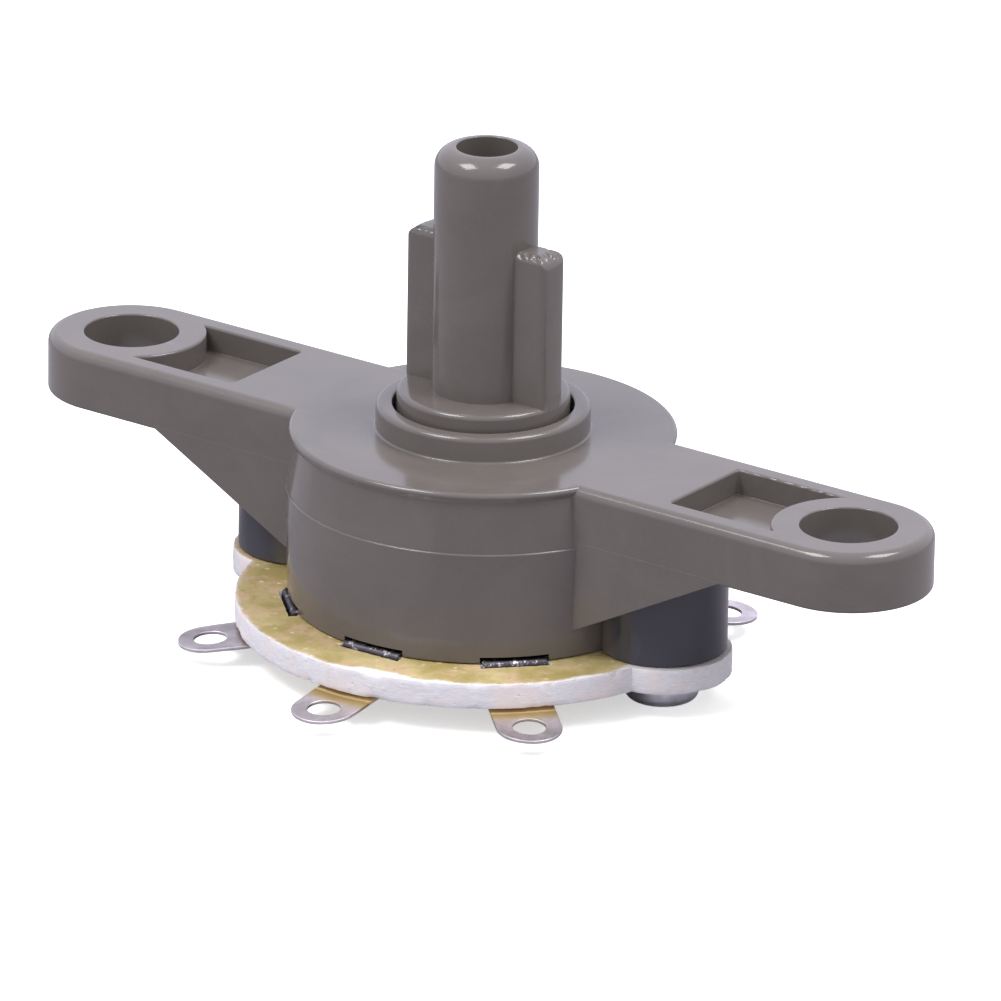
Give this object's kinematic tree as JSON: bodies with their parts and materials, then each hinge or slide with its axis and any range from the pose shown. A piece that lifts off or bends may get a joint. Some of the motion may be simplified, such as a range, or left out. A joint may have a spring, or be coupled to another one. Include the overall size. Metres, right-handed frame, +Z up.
{
  "type": "rotary switch",
  "caption": "Rotary wafer switch: taupe moulded housing with two fixing ears, a winged hollow shaft, and a laminate wafer with folded solder lugs below.",
  "frame": {"origin": "on the shaft's axis, level with the heads of the two rivets, the lowest points", "axes": "+Z up along the shaft, X along the two ears, Y across them"},
  "size_m": [0.0608, 0.0354, 0.0304],
  "materials": {
    "taupe_plastic": "glossy moulded thermoplastic",
    "glass_laminate": "yellow glass laminate with pale punched edges",
    "tinned_brass": "tinned, satin grey",
    "rivet_steel": "bright plated steel",
    "spring_steel": "drawn steel wire and polished balls",
    "bronze_sheet": "plain phosphor bronze sheet",
    "contact_silver": "silver-faced contact"
  },
  "bodies": {
    "base": {"housing": "taupe_plastic", "wafer": "glass_laminate", "terminal_1": "tinned_brass", "terminal_2": "tinned_brass", "terminal_3": "tinned_brass", "terminal_4": "tinned_brass", "terminal_5": "tinned_brass", "terminal_6": "tinned_brass", "rivet_left": "rivet_steel", "rivet_right": "rivet_steel"},
    "rotor": {"rotor": "taupe_plastic", "detent_spring_left": "spring_steel", "detent_spring_right": "spring_steel", "contact_spring": "spring_steel"},
    "bridge": {"bridge_blade": "bronze_sheet", "contact_button_left": "contact_silver", "contact_button_right": "contact_silver"},
    "ball_left": {"detent_ball_left": "spring_steel"},
    "ball_right": {"detent_ball_right": "spring_steel"}
  },
  "joints": [
    {"name": "shaft_turn", "type": "hinge", "parent": "base", "child": "rotor", "pos_m": [0, 0, 0.01344], "axis": [0, 0, 1], "range_deg": [0, 136.5]},
    {"name": "bridge_lift", "type": "slide", "parent": "rotor", "child": "bridge", "axis": [0, 0, 1], "range_m": [0, 0.0003], "deforming": ["contact_spring"]},
    {"name": "ball_left_snap", "type": "slide", "parent": "rotor", "child": "ball_left", "axis": [-1, 0, 0], "range_m": [0, 0.0004]},
    {"name": "ball_right_snap", "type": "slide", "parent": "rotor", "child": "ball_right", "axis": [1, 0, 0], "range_m": [0, 0.0004]}
  ]
}
